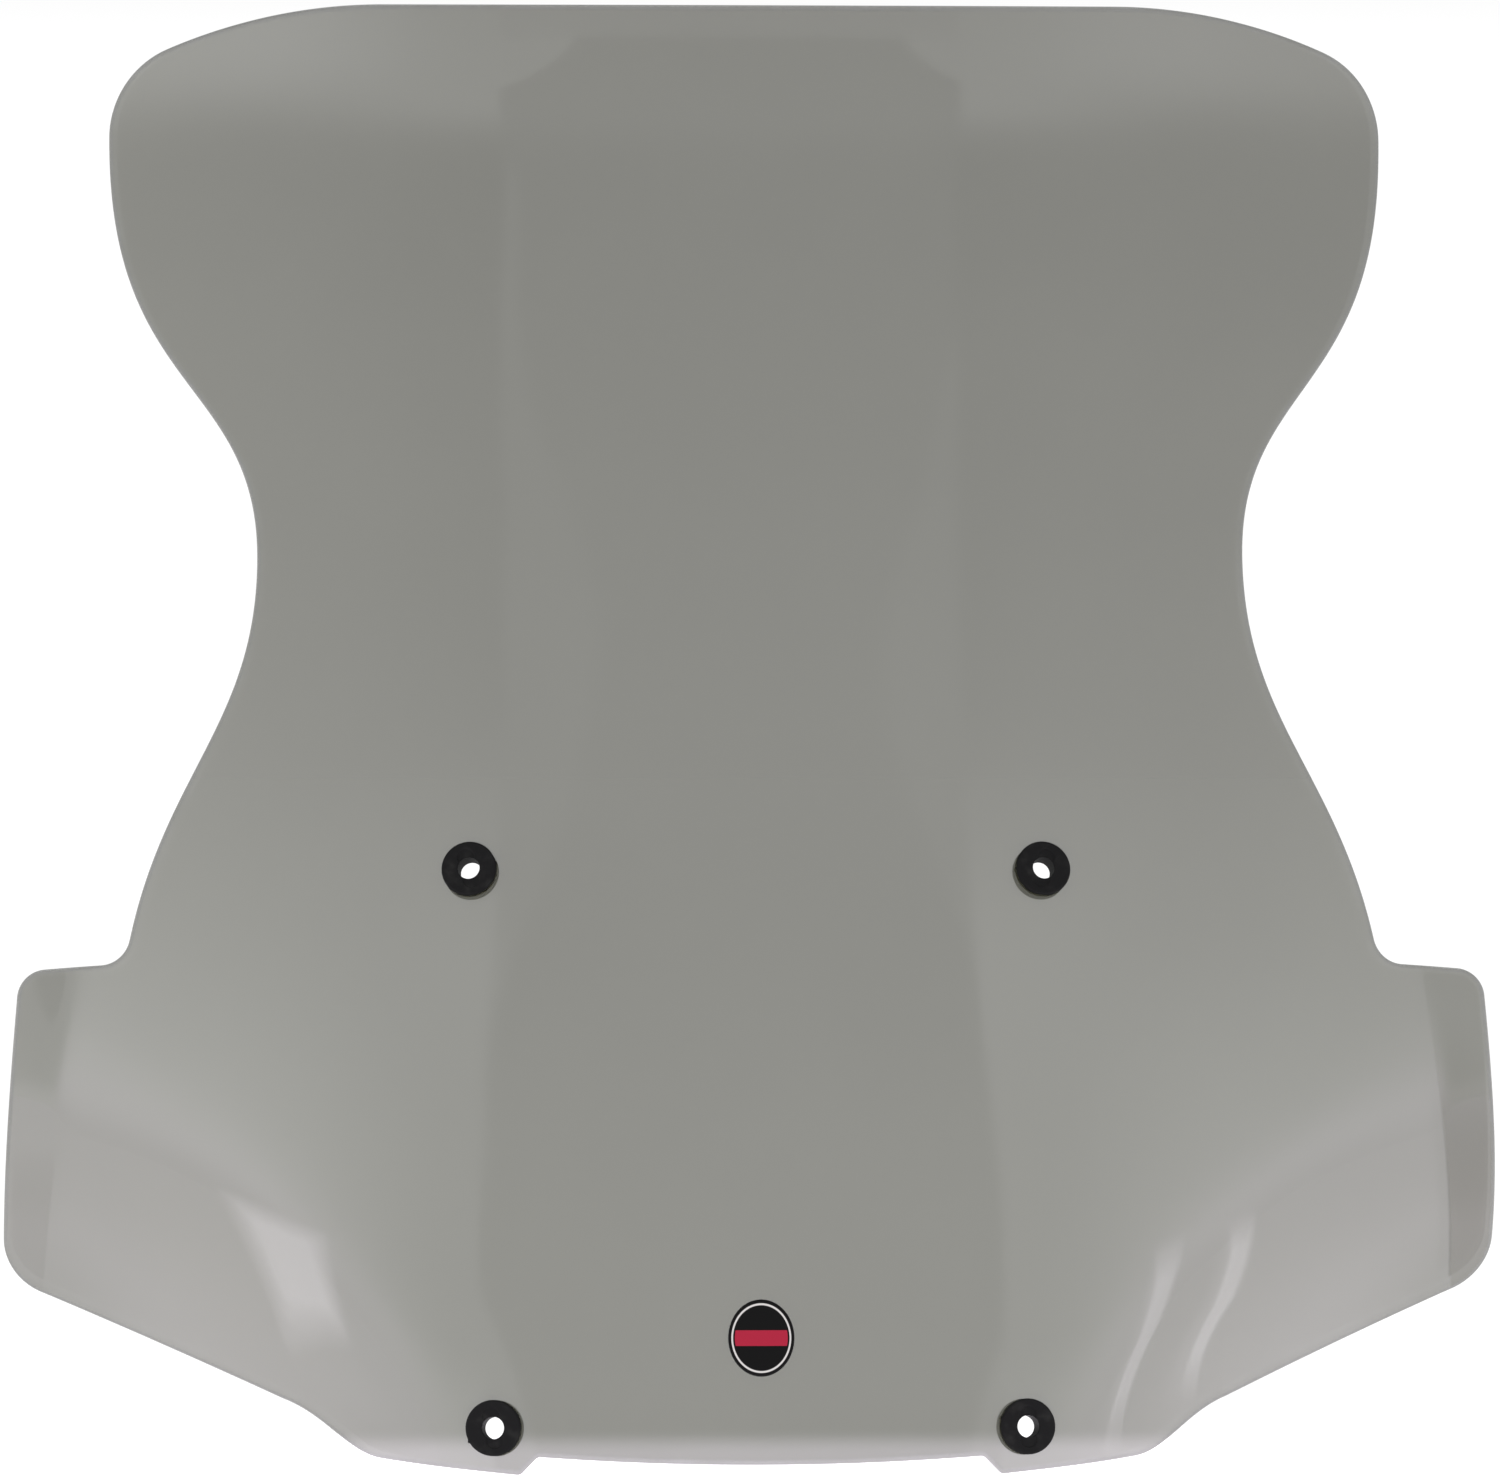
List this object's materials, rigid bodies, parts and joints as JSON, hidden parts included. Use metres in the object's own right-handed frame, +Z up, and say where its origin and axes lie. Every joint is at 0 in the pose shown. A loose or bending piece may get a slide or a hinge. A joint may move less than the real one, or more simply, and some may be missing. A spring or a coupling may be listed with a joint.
{
  "type": "motorcycle windshield screen",
  "caption": "Smoke-tinted formed touring windshield with a flared rolled top, narrow waist and swept-back lower wings, held through rubber grommets",
  "frame": {"origin": "on the centreline, level with the lowest points of the bottom edge, halfway through the screen's depth", "axes": "+X runs across the screen to the right seen from the wind side, +Y runs back towards the rider, +Z is up"},
  "size_m": [0.6056, 0.1764, 0.5886],
  "materials": {
    "smoke_panel": "polished light-smoke transparent sheet",
    "grommet_rubber": "matte moulded black",
    "decal_film": "gloss printed film"
  },
  "bodies": {
    "root": {"screen_panel": "smoke_panel", "grommet_upper_left": "grommet_rubber", "grommet_upper_right": "grommet_rubber", "grommet_lower_left": "grommet_rubber", "grommet_lower_right": "grommet_rubber", "decal": "decal_film"}
  },
  "joints": []
}
